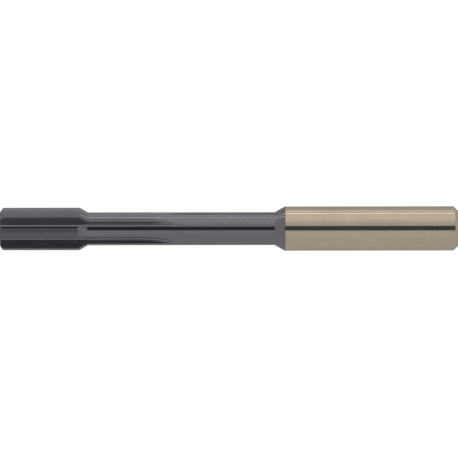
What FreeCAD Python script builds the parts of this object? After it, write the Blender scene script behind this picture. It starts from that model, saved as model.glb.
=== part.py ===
import FreeCAD, Part
import math
import os

# Machine reamer, ground in one piece from solid carbide: a head with six straight flutes at
# unequal pitches, a relieved neck that the flutes run out on, and a plain cylindrical shank.
# Millimetres. The tool lies along X with its tip towards -X and +Z up as it rests. The origin
# is the centre of the flat end of the shank. It cuts right-hand, clockwise seen from the shank.

# Lengths along the tool
overall_length = 103.0
shank_length = 39.0
head_length = 17.7
straight_flute_length = 32.3

# Diameters
shank_diameter = 10.0
neck_diameter = 7.43
cutting_diameter = 9.8

# Cones and edge breaks, with slopes measured from the axis
back_cone_angle = 30.0
shoulder_angle = 30.0
shank_chamfer = 0.95
lead_length = 0.56
lead_depth = 0.8

# Teeth: these two pitches and the rest of the half turn, twice round, keep edges opposite
first_pitch = 60.0
second_pitch = 51.5

# Back of a tooth: a round margin, then a first and a second clearance ground flat behind it
margin_width = 0.35
first_clearance_angle = 8.0
first_clearance_width = 0.9
second_clearance_angle = 18.0
lead_clearance_angle = 10.0

# Flute: a radial cutting face, a round root and a straight back, left by a form wheel
face_root_radius = 3.12
root_fillet_radius = 0.65
flute_angle = 60.0
wheel_radius = 22.0

# How far each cutter runs past the metal
overrun = 1.0

half_turn = 180.0
shank_radius = shank_diameter / 2
neck_radius = neck_diameter / 2
cutting_radius = cutting_diameter / 2
outside_radius = cutting_radius + overrun
tip_x = -overall_length
neck_start_x = tip_x + head_length + (cutting_radius - neck_radius) / math.tan(math.radians(back_cone_angle))
neck_end_x = -shank_length - (shank_radius - neck_radius) / math.tan(math.radians(shoulder_angle))
flute_end_x = tip_x + straight_flute_length
flute_corner_radius = face_root_radius - root_fillet_radius / math.tan(math.radians(flute_angle / 2))
along_tool = FreeCAD.Vector(1, 0, 0)
centre = FreeCAD.Vector(0, 0, 0)


def polar(radius, angle, x=0.0):
    """Point at this radius and angle round the tool, from +Y towards +Z."""
    turn = math.radians(angle)
    return FreeCAD.Vector(x, radius * math.cos(turn), radius * math.sin(turn))


def flat_face(points):
    """Plane face inside a closed outline with these corners."""
    return Part.Face(Part.makePolygon(points + points[:1]))


def turned_blank():
    """Round blank: lead chamfer, head, back cone, neck, shoulder cone and shank."""
    outline = [
        (tip_x, 0),
        (tip_x, cutting_radius - lead_depth),
        (tip_x + lead_length, cutting_radius),
        (tip_x + head_length, cutting_radius),
        (neck_start_x, neck_radius),
        (neck_end_x, neck_radius),
        (-shank_length, shank_radius),
        (-shank_chamfer, shank_radius),
        (0, shank_radius - shank_chamfer),
        (0, 0),
    ]
    half_section = flat_face([FreeCAD.Vector(x, radius, 0) for x, radius in outline])
    return half_section.revolve(centre, along_tool, 2 * half_turn)


def flute_opening():
    """Angle round the head between a cutting edge and the heel of the tooth ahead of it."""
    slope = math.radians(flute_angle)
    reach = math.sqrt(cutting_radius ** 2 - (flute_corner_radius * math.sin(slope)) ** 2)
    reach -= flute_corner_radius * math.cos(slope)
    heel_out = flute_corner_radius + reach * math.cos(slope)
    return math.degrees(math.atan2(reach * math.sin(slope), heel_out))


def teeth():
    """Angle of each cutting edge and the pitch behind it. The tool lies on the heel of the
    fifth tooth and the edge of the sixth, so the flute between them faces straight down."""
    last_pitch = half_turn - first_pitch - second_pitch
    pitches = [first_pitch, second_pitch, last_pitch] * 2
    sixth_edge = flute_opening() / 2 - half_turn / 2
    angle = sixth_edge + last_pitch
    found = []
    for pitch in pitches:
        found.append((angle, pitch))
        angle += pitch
    return found


def flute_section():
    """Section of the flute in front of a cutting face that points along +Y."""
    slope = math.radians(flute_angle)

    def place(out, ahead):
        return FreeCAD.Vector(flute_end_x, out, -ahead)

    def on_fillet(angle):
        out = face_root_radius - root_fillet_radius * math.cos(angle)
        return place(out, root_fillet_radius * (1 - math.sin(angle)))

    face_top = place(outside_radius, 0)
    face_root = place(face_root_radius, 0)
    back_root = place(
        face_root_radius - root_fillet_radius * math.sin(slope),
        root_fillet_radius * (1 + math.cos(slope)),
    )
    back_reach = 2 * outside_radius
    back_top = place(
        flute_corner_radius + back_reach * math.cos(slope),
        back_reach * math.sin(slope),
    )
    outline = [
        Part.LineSegment(face_top, face_root).toShape(),
        Part.Arc(face_root, on_fillet(slope / 2), back_root).toShape(),
        Part.LineSegment(back_root, back_top).toShape(),
        Part.LineSegment(back_top, face_top).toShape(),
    ]
    return Part.Face(Part.Wire(outline))


def flute_cutters():
    """Straight pass of the wheel over the head, and the arc on which it leaves the neck."""
    section = flute_section()
    straight_pass = section.extrude(along_tool * -(straight_flute_length + overrun))
    floor_radius = face_root_radius - root_fillet_radius
    wheel_centre = FreeCAD.Vector(flute_end_x, floor_radius + wheel_radius, 0)
    lift = neck_radius - floor_radius + overrun
    lift_angle = math.degrees(math.acos(1 - lift / wheel_radius))
    run_out = section.revolve(wheel_centre, FreeCAD.Vector(0, 0, 1), lift_angle)
    return [straight_pass, run_out]


def clearance_cutter(pitch):
    """Both clearances behind the margin of a tooth whose edge points along +Y. The cutter
    ends in the middle of the flute behind the tooth."""
    start_x = tip_x - overrun
    margin_angle = math.degrees(margin_width / cutting_radius)
    end_angle = pitch - flute_opening() / 2
    second_width = cutting_radius * math.radians(end_angle) - margin_width - first_clearance_width
    behind = margin_angle + half_turn / 2
    margin_end = polar(cutting_radius, margin_angle, start_x)
    first_end = margin_end + polar(first_clearance_width, behind + first_clearance_angle)
    second_end = first_end + polar(second_width, behind + second_clearance_angle)
    outline = [
        margin_end,
        first_end,
        second_end,
        polar(outside_radius, end_angle, start_x),
        polar(outside_radius, margin_angle, start_x),
    ]
    return flat_face(outline).extrude(along_tool * (neck_start_x - start_x))


def lead_clearance_cutter():
    """Clearance behind the lead edge of a tooth whose edge points along +Y."""
    corner = FreeCAD.Vector(tip_x + lead_length, cutting_radius, 0)
    length = 2 * outside_radius
    width = cutting_radius / 2
    cutter = Part.makeBox(length, overrun, width, corner - along_tool * (length / 2))
    cutter.rotate(corner, along_tool, lead_clearance_angle)
    lead_slope = math.degrees(math.atan2(lead_depth, lead_length))
    cutter.rotate(corner, FreeCAD.Vector(0, 0, 1), lead_slope)
    return cutter


def reamer():
    """The blank less the flute and the clearances of every tooth."""
    cutters = []
    for angle, pitch in teeth():
        tooth_cutters = flute_cutters() + [clearance_cutter(pitch), lead_clearance_cutter()]
        for cutter in tooth_cutters:
            cutter.rotate(centre, along_tool, angle)
        cutters += tooth_cutters
    return turned_blank().cut(cutters).Solids[0]


os.makedirs("parts", exist_ok=True)
finished = reamer()
finished.exportStep("parts/reamer.step")
print("reamer", finished.isValid(), len(finished.Faces), "faces", round(finished.Volume, 1), "mm3")
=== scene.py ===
import math

import bmesh
import bpy
from mathutils import Matrix, Vector


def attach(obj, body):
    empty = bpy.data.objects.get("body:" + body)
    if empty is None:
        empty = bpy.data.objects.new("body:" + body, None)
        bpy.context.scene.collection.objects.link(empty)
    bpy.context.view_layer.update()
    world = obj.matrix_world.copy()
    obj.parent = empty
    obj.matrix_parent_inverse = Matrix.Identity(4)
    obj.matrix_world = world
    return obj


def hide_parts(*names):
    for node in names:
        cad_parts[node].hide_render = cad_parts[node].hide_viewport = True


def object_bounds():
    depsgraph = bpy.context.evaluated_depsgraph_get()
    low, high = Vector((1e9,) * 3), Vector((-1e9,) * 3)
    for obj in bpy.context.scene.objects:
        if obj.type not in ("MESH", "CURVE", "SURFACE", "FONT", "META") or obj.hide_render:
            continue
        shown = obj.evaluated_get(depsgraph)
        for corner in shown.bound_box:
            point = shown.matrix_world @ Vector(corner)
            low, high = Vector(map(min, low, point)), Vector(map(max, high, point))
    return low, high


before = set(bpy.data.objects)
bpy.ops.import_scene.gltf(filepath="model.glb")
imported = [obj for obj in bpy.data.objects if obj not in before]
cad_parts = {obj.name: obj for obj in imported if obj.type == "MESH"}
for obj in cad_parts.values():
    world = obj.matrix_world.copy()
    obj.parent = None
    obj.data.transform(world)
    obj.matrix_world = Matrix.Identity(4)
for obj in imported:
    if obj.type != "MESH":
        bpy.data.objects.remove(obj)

cad_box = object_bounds()

# ---------------------------------------------------------------------------------------------
# The blank. A sintered carbide rod, ground round between centres: lead chamfer, head, back
# cone, neck, shoulder cone and the 10 mm shank with its chamfered end. Its surface is a fine
# grind whose marks run round the axis. The tool lies along X with its tip towards -X.
tip_x = cad_box[0].x
shank_radius = 0.005
shank_length = 0.039
shank_chamfer = 0.00095
neck_radius = 0.003715
head_length = 0.0177
cutting_radius = 0.0049
lead_length = 0.00056
lead_depth = 0.0008
cone_angle = math.radians(30)
facets_round = 720


def mesh_object(name, mesh):
    """An object with this mesh, put into the scene."""
    made = bpy.data.objects.new(name, mesh)
    bpy.context.scene.collection.objects.link(made)
    return made


def closed_mesh(name, sections):
    """A closed mesh lofted through sections, lists of equally many points, with flat ends."""
    shape = bmesh.new()
    rings = [[shape.verts.new(point) for point in section] for section in sections]
    count = len(rings[0])
    for near, far in zip(rings, rings[1:]):
        for i in range(count):
            j = (i + 1) % count
            shape.faces.new((near[i], near[j], far[j], far[i]))
    shape.faces.new(reversed(rings[0]))
    shape.faces.new(rings[-1])
    bmesh.ops.recalc_face_normals(shape, faces=shape.faces)
    mesh = bpy.data.meshes.new(name)
    shape.to_mesh(mesh)
    shape.free()
    return mesh


def round_ring(x, radius):
    """Points of a circle about the tool's axis."""
    turns = [2 * math.pi * i / facets_round for i in range(facets_round)]
    return [(x, radius * math.cos(turn), radius * math.sin(turn)) for turn in turns]


neck_start = tip_x + head_length + (cutting_radius - neck_radius) / math.tan(cone_angle)
neck_end = -shank_length - (shank_radius - neck_radius) / math.tan(cone_angle)
blank_outline = [
    (tip_x, cutting_radius - lead_depth),
    (tip_x + lead_length, cutting_radius),
    (tip_x + head_length, cutting_radius),
    (neck_start, neck_radius),
    (neck_end, neck_radius),
    (-shank_length, shank_radius),
    (-shank_chamfer, shank_radius),
    (0, shank_radius - shank_chamfer),
]
blank = mesh_object("blank", closed_mesh("blank", [round_ring(x, r) for x, r in blank_outline]))

# ---------------------------------------------------------------------------------------------
# Flutes. A form wheel with a rounded corner grinds each straight flute along the head and
# lifts out of the neck on its own radius. The cutting face is radial, the root is round and
# the back of the tooth ahead is flat. The cutters are drawn for an edge that points along +Y.
flute_straight = 0.0323
face_root = 0.00312
root_fillet = 0.00065
flute_angle = math.radians(60)
wheel_radius = 0.022
overrun = 0.001
cutter_radius = 1.5 * cutting_radius
fillet_steps = 40
lift_steps = 32
corner_support = 0.00003


def flute_section():
    """Corners of the flute's section as (out, ahead), round from the top of the face."""
    corner = face_root - root_fillet / math.tan(flute_angle / 2)
    points = [(cutter_radius, 0), (face_root + corner_support, 0)]
    fillet_turn = math.pi - flute_angle
    for step in range(fillet_steps + 1):
        turn = -math.pi / 2 - fillet_turn * step / fillet_steps
        out = face_root + root_fillet * math.cos(turn)
        points.append((out, root_fillet + root_fillet * math.sin(turn)))
    slope_out, slope_ahead = math.cos(flute_angle), math.sin(flute_angle)
    root_out, root_ahead = points[-1]
    points.append((root_out + corner_support * slope_out, root_ahead + corner_support * slope_ahead))
    rise = math.sqrt(cutter_radius ** 2 - (corner * slope_ahead) ** 2) - corner * slope_out
    points.append((corner + rise * slope_out, rise * slope_ahead))
    return points


def flute_cutter():
    """The flute's section carried along the head and then round the wheel's centre."""
    section = flute_section()
    end = tip_x + flute_straight
    floor = face_root - root_fillet
    wheel_centre = floor + wheel_radius
    full_lift = math.acos(1 - (neck_radius - floor + overrun) / wheel_radius)
    stations = [[(tip_x - overrun, out, -ahead) for out, ahead in section]]
    for step in range(lift_steps + 1):
        lift = full_lift * step / lift_steps
        station = []
        for out, ahead in section:
            arm = wheel_centre - out
            station.append((end + arm * math.sin(lift), wheel_centre - arm * math.cos(lift), -ahead))
        stations.append(station)
    return mesh_object("flute_cutter", closed_mesh("flute_cutter", stations))


# ---------------------------------------------------------------------------------------------
# Backs of the teeth. A narrow round margin is left behind each edge. A cup wheel grinds two
# flats behind it at 8 and 18 degrees, and a third one backs off the lead chamfer.
margin_width = 0.00035
first_clearance = math.radians(8)
first_width = 0.0009
second_clearance = math.radians(18)
lead_clearance = math.radians(10)
clearance_end = math.radians(40)


def polar(radius, turn, x=0.0):
    """Point at this radius and angle round the axis, from +Y towards +Z."""
    return Vector((x, radius * math.cos(turn), radius * math.sin(turn)))


def clearance_cutter():
    """Prism over the two flats behind a margin, as long as the head and its back cone."""
    margin_turn = margin_width / cutting_radius
    behind = margin_turn + math.pi / 2
    second_width = cutting_radius * (clearance_end - margin_turn) - first_width
    start = tip_x - overrun
    margin_end = polar(cutting_radius, margin_turn, start)
    first_end = margin_end + polar(first_width, behind + first_clearance)
    second_end = first_end + polar(second_width, behind + second_clearance)
    near = [
        margin_end,
        first_end,
        second_end,
        polar(cutter_radius, clearance_end, start),
        polar(cutter_radius, margin_turn, start),
    ]
    along = Vector((neck_start - start, 0, 0))
    far = [point + along for point in near]
    return mesh_object("clearance_cutter", closed_mesh("clearance_cutter", [near, far]))


def lead_cutter():
    """Slab that backs off the lead chamfer behind the edge."""
    length = 2 * cutter_radius
    width = cutting_radius / 2
    corner = Vector((tip_x + lead_length, cutting_radius, 0))
    near = [(-length / 2, 0, 0), (length / 2, 0, 0), (length / 2, 0, width), (-length / 2, 0, width)]
    slope = Matrix.Rotation(math.atan2(lead_depth, lead_length), 3, "Z")
    turn = slope @ Matrix.Rotation(lead_clearance, 3, "X")
    sections = []
    for height in (0, overrun):
        sections.append([corner + turn @ (Vector(point) + Vector((0, height, 0))) for point in near])
    return mesh_object("lead_cutter", closed_mesh("lead_cutter", sections))


# ---------------------------------------------------------------------------------------------
# Finishes. Head, neck and shoulder cone carry a dark anthracite hard coating, a few microns
# thick and glossy like the grind under it, and duller on the backs of the teeth. The shank is
# masked off and stays bare grey carbide.
coating_colour = "#7f7c81"
coating_on_lands_colour = "#6b686d"
bare_carbide_colour = "#c4b6a0"
heat_line_colour = "#5a4334"
# Tint of the reflection at grazing angles. Part of it is the metal's own mild edge tint, and part is
# painted shade that darkens the rims where the shadowed floor under the tool would show in the reflection.
edge_tint_with_painted_rim_shade = "#dcdcdc"
heat_line_width = 0.00018
mark_spacing = 0.00012
mark_height = 0.000002
mark_strength = 0.25
clouds_per_metre = 220
noise_low = 0.3
noise_high = 0.7
smoothest = 0.85
roughest = 1.2
darkest = 0.96
lightest = 1.04


def linear(colour):
    """Linear RGBA of an sRGB hex colour."""
    channels = [int(colour[i:i + 2], 16) / 255 for i in (1, 3, 5)]
    return [c / 12.92 if c <= 0.04045 else ((c + 0.055) / 1.055) ** 2.4 for c in channels] + [1]


def add(tree, kind, inputs=None, **settings):
    """Adds a node with its settings, and sets or links its inputs."""
    made = tree.nodes.new(kind)
    for name, value in settings.items():
        setattr(made, name, value)
    for socket, value in (inputs or {}).items():
        if isinstance(value, bpy.types.NodeSocket):
            tree.links.new(value, made.inputs[socket])
        else:
            made.inputs[socket].default_value = value
    return made


def ground_metal(name, colour, roughness, marks, heat_line=False):
    """Ground metal whose fine marks are stretched by the factors in marks. Marks change the
    gloss a little, cloudy patches the tone, and the heat line is where the coating ends."""
    material = bpy.data.materials.new(name)
    material.use_nodes = True
    tree = material.node_tree
    tree.nodes.clear()
    place = add(tree, "ShaderNodeTexCoord").outputs["Object"]
    stretched = add(tree, "ShaderNodeVectorMath", {0: place, 1: marks}, operation="MULTIPLY")
    grind = add(
        tree, "ShaderNodeTexNoise",
        {"Vector": stretched.outputs[0], "Scale": 1 / mark_spacing, "Detail": 3, "Roughness": 0.6},
    )
    clouds = add(tree, "ShaderNodeTexNoise", {"Vector": place, "Scale": clouds_per_metre, "Detail": 2})
    gloss = add(
        tree, "ShaderNodeMapRange",
        {"Value": grind.outputs["Fac"], "From Min": noise_low, "From Max": noise_high,
         "To Min": roughness * smoothest, "To Max": roughness * roughest},
    )
    tone = add(
        tree, "ShaderNodeMapRange",
        {"Value": clouds.outputs["Fac"], "From Min": noise_low, "From Max": noise_high,
         "To Min": darkest, "To Max": lightest},
    )
    shade = add(
        tree, "ShaderNodeVectorMath",
        {0: linear(colour)[:3], "Scale": tone.outputs["Result"]}, operation="SCALE",
    ).outputs[0]
    if heat_line:
        along = add(tree, "ShaderNodeSeparateXYZ", {0: place}).outputs["X"]
        line = add(
            tree, "ShaderNodeMapRange",
            {"Value": along, "From Min": -shank_length, "From Max": heat_line_width - shank_length,
             "To Min": 1, "To Max": 0},
        )
        shade = add(
            tree, "ShaderNodeMix",
            {"Factor": line.outputs["Result"], "A": shade, "B": linear(heat_line_colour)[:3]},
            data_type="VECTOR",
        ).outputs[1]
    relief = add(
        tree, "ShaderNodeBump",
        {"Height": grind.outputs["Fac"], "Strength": mark_strength, "Distance": mark_height},
    )
    # Specular Tint carries the edge tint with its painted rim shade.
    surface = add(
        tree, "ShaderNodeBsdfPrincipled",
        {"Base Color": shade, "Metallic": 1, "Roughness": gloss.outputs["Result"],
         "Specular Tint": linear(edge_tint_with_painted_rim_shade), "Normal": relief.outputs["Normal"]},
    )
    add(tree, "ShaderNodeOutputMaterial", {"Surface": surface.outputs["BSDF"]})
    return material


marks_round = (1, 0.02, 0.02)
marks_lengthwise = (0.02, 1, 1)
# Dark mirror with crisp bands of light along the neck
coated_round = ground_metal("coated_ground_round", coating_colour, 0.1, marks_round)
# The same coating in the flutes, where the bands blur a little
coated_flute = ground_metal("coated_ground_flute", coating_colour, 0.15, marks_lengthwise)
# Backs of the teeth, which look darker and softer than the neck
coated_land = ground_metal("coated_ground_land", coating_on_lands_colour, 0.25, marks_lengthwise)
# Warm pale grey shank with a thin brown line where the coating ends
bare_shank = ground_metal("bare_ground_carbide", bare_carbide_colour, 0.1, marks_round, heat_line=True)

# ---------------------------------------------------------------------------------------------
# Grinding. The wheels visit the six teeth in turn: three unequal pitches, the same again on
# the other side, so that edges face each other but the tool doesn't chatter. The flute before
# the sixth edge faces straight down, because the tool lies on the teeth beside it.
first_pitch = math.radians(60)
second_pitch = math.radians(51.5)
tooth_count = 6
smooth_below = math.radians(5)
merge_below = 0.0000002


def flute_opening():
    """Angle round the head between an edge and the heel of the tooth ahead of it."""
    corner = face_root - root_fillet / math.tan(flute_angle / 2)
    rise = math.sqrt(cutting_radius ** 2 - (corner * math.sin(flute_angle)) ** 2)
    rise -= corner * math.cos(flute_angle)
    return math.atan2(rise * math.sin(flute_angle), corner + rise * math.cos(flute_angle))


def grinding_tree():
    """Geometry nodes that turn the cutters to every tooth and take them off the blank."""
    tree = bpy.data.node_groups.new("grinding", "GeometryNodeTree")
    interface = tree.interface
    interface.new_socket("Geometry", in_out="INPUT", socket_type="NodeSocketGeometry")
    for name in ("Flute", "Clearance", "Lead"):
        interface.new_socket(name, in_out="INPUT", socket_type="NodeSocketObject")
    for name in ("First edge", "First pitch", "Second pitch", "Coating end"):
        interface.new_socket(name, in_out="INPUT", socket_type="NodeSocketFloat")
    interface.new_socket("Geometry", in_out="OUTPUT", socket_type="NodeSocketGeometry")
    given = add(tree, "NodeGroupInput").outputs

    def maths(operation, first, second=0.0):
        return add(tree, "ShaderNodeMath", {0: first, 1: second}, operation=operation).outputs[0]

    index = add(tree, "GeometryNodeInputIndex").outputs[0]
    place_in_half = maths("MODULO", index, tooth_count / 2)
    half = maths("FLOOR", maths("DIVIDE", index, tooth_count / 2))
    turn = maths("ADD", given["First edge"], maths("MULTIPLY", half, math.pi))
    for number, pitch in enumerate(("First pitch", "Second pitch")):
        passed = maths("GREATER_THAN", place_in_half, number + 0.5)
        turn = maths("ADD", turn, maths("MULTIPLY", passed, given[pitch]))
    euler = add(tree, "ShaderNodeCombineXYZ", {"X": turn}).outputs[0]
    rotation = add(tree, "FunctionNodeEulerToRotation", {0: euler}).outputs[0]
    teeth = add(tree, "GeometryNodePoints", {"Count": tooth_count}).outputs[0]
    ground = given["Geometry"]
    for name in ("Flute", "Clearance", "Lead"):
        cutter = add(tree, "GeometryNodeObjectInfo", {"Object": given[name]}).outputs["Geometry"]
        marked = add(
            tree, "GeometryNodeStoreNamedAttribute",
            {"Geometry": cutter, "Name": name, "Value": True},
            data_type="BOOLEAN", domain="FACE",
        ).outputs[0]
        copies = add(
            tree, "GeometryNodeInstanceOnPoints",
            {"Points": teeth, "Instance": marked, "Rotation": rotation},
        ).outputs[0]
        wheels = add(tree, "GeometryNodeRealizeInstances", {"Geometry": copies}).outputs[0]
        ground = add(
            tree, "GeometryNodeMeshBoolean", {0: ground, 1: wheels},
            operation="DIFFERENCE", solver="EXACT",
        ).outputs[0]
    ground = add(
        tree, "GeometryNodeMergeByDistance", {"Geometry": ground, "Distance": merge_below},
    ).outputs[0]
    ground = add(tree, "GeometryNodeSetShadeSmooth", {"Geometry": ground, "Shade Smooth": True}).outputs[0]
    angle = add(tree, "GeometryNodeInputMeshEdgeAngle").outputs["Unsigned Angle"]
    sharp = add(
        tree, "FunctionNodeCompare", {"A": angle, "B": smooth_below}, operation="GREATER_THAN",
    ).outputs[0]
    ground = add(
        tree, "GeometryNodeSetShadeSmooth",
        {"Geometry": ground, "Selection": sharp, "Shade Smooth": False}, domain="EDGE",
    ).outputs[0]
    position = add(tree, "GeometryNodeInputPosition").outputs[0]
    along = add(tree, "ShaderNodeSeparateXYZ", {0: position}).outputs["X"]
    masked = add(
        tree, "FunctionNodeCompare", {"A": along, "B": given["Coating end"]}, operation="GREATER_THAN",
    ).outputs[0]
    ground = add(tree, "GeometryNodeRealizeInstances", {"Geometry": ground}).outputs[0]
    finishes = [(True, coated_round)]
    for name, material in (("Flute", coated_flute), ("Clearance", coated_land), ("Lead", coated_land)):
        cut = add(tree, "GeometryNodeInputNamedAttribute", {"Name": name}, data_type="BOOLEAN")
        finishes.append((cut.outputs["Attribute"], material))
    finishes.append((masked, bare_shank))
    for chosen, material in finishes:
        ground = add(
            tree, "GeometryNodeSetMaterial",
            {"Geometry": ground, "Selection": chosen, "Material": material},
        ).outputs[0]
    add(tree, "NodeGroupOutput", {"Geometry": ground})
    return tree


tree = grinding_tree()
last_pitch = math.pi - first_pitch - second_pitch
cutters = {"Flute": flute_cutter(), "Clearance": clearance_cutter(), "Lead": lead_cutter()}
settings = {
    "First edge": flute_opening() / 2 - math.pi / 2 + last_pitch,
    "First pitch": first_pitch,
    "Second pitch": second_pitch,
    "Coating end": -shank_length,
    **cutters,
}
modifier = blank.modifiers.new("grinding", "NODES")
modifier.node_group = tree
for item in tree.interface.items_tree:
    if item.in_out == "INPUT" and item.name in settings:
        modifier[item.identifier] = settings[item.name]
bpy.context.view_layer.update()
evaluated = blank.evaluated_get(bpy.context.evaluated_depsgraph_get())
reamer = mesh_object("reamer_ground", bpy.data.meshes.new_from_object(evaluated))
blank.modifiers.remove(modifier)
for used in [blank, *cutters.values()]:
    bpy.data.objects.remove(used)
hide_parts("reamer")
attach(reamer, "root")

# ---------------------------------------------------------------------------------------------
# Stage. The tool lies on a pale table under a soft surround. A wide softbox hangs behind and
# above it, two strips of light stand low at the back, and a dark card faces it from the front.
middle = Vector((tip_x / 2, 0, 0))
camera_elevation = 64.8
camera_distance = 0.57
camera_lens = 199
camera_roll = math.radians(-0.074)
aim_below = 0.000081
nearest_shown = 0.01
surround = 0.6
table_size = 8
table_glow = 0.9
white = (1, 1, 1, 1)


def matt(name, inputs):
    """Matt material whose shader takes these inputs."""
    material = bpy.data.materials.new(name)
    material.use_nodes = True
    surface = material.node_tree.nodes["Principled BSDF"].inputs
    surface["Roughness"].default_value = 1
    for socket, value in inputs.items():
        surface[socket].default_value = value
    return material


def table():
    """Pale matt table top that the tool lies on."""
    shape = bmesh.new()
    bmesh.ops.create_grid(shape, x_segments=1, y_segments=1, size=table_size / 2)
    bmesh.ops.translate(shape, verts=shape.verts, vec=(0, 0, cad_box[0].z))
    mesh = bpy.data.meshes.new("table")
    shape.to_mesh(mesh)
    shape.free()
    paint = {
        "Base Color": linear("#b4b4b4"),
        "Specular IOR Level": 0,
        "Emission Color": white,
        "Emission Strength": table_glow,
    }
    mesh.materials.append(matt("pale_matt_table", paint))
    top = mesh_object("table", mesh)
    top.visible_glossy = False
    return top


def across(angle):
    """Unit vector square to the tool, this many degrees up from the front horizon."""
    turn = math.radians(angle)
    return Vector((0, -math.cos(turn), math.sin(turn)))


def softbox(name, low, high, brightness, distance=0.6, length=1.2):
    """Long area light that spans these degrees round the tool."""
    light = bpy.data.lights.new(name, "AREA")
    light.shape = "RECTANGLE"
    light.size = length
    light.size_y = 2 * distance * math.tan(math.radians(high - low) / 2)
    light.energy = brightness * math.pi * light.size * light.size_y
    lamp = bpy.data.objects.new(name, light)
    bpy.context.scene.collection.objects.link(lamp)
    outwards = across((low + high) / 2)
    lamp.location = middle + outwards * distance
    lamp.rotation_euler = outwards.to_track_quat("Z", "Y").to_euler()


def dark_card(low, high, distance=0.5, length=0.8):
    """Dark card that spans these degrees round the tool, unseen by the camera itself."""
    half = distance * math.tan(math.radians(high - low) / 2)
    outwards = across((low + high) / 2)
    upwards = Vector((1, 0, 0)).cross(outwards)
    corners = []
    for side, rise in ((-1, -1), (1, -1), (1, 1), (-1, 1)):
        along = Vector((side * length / 2, 0, 0))
        corners.append(middle + outwards * distance + along + upwards * rise * half)
    mesh = bpy.data.meshes.new("dark_card")
    mesh.from_pydata(corners, [], [(0, 1, 2, 3)])
    mesh.materials.append(matt("dark_card", {"Base Color": linear("#3c4250")}))
    card = mesh_object("dark_card", mesh)
    card.visible_camera = False
    return card


table()
dark_card(54.3, 78.1)
softbox("softbox_wide", 91, 146, 0.06)
softbox("softbox_middle", 99, 146, 0.12)
softbox("softbox_core", 113, 146, 0.09)
softbox("front_fill", 18, 50, 0.045)
softbox("strip_high", 149, 152, 2.0)
softbox("strip_low", 165, 169, 1.1)

world = bpy.data.worlds.new("surround")
bpy.context.scene.world = world
world.use_nodes = True
sky = world.node_tree.nodes["Background"].inputs
sky["Color"].default_value = white
sky["Strength"].default_value = surround

camera_data = bpy.data.cameras.new("camera")
camera_data.lens = camera_lens
camera_data.clip_start = nearest_shown
camera = bpy.data.objects.new("camera", camera_data)
bpy.context.scene.collection.objects.link(camera)
towards_camera = across(camera_elevation)
aim = middle + Vector((1, 0, 0)).cross(towards_camera) * aim_below
camera.location = aim + towards_camera * camera_distance
upright = towards_camera.to_track_quat("Z", "Y").to_matrix()
camera.rotation_euler = (upright @ Matrix.Rotation(camera_roll, 3, "Z")).to_euler()
bpy.context.scene.camera = camera
bpy.context.scene.view_settings.view_transform = "Standard"
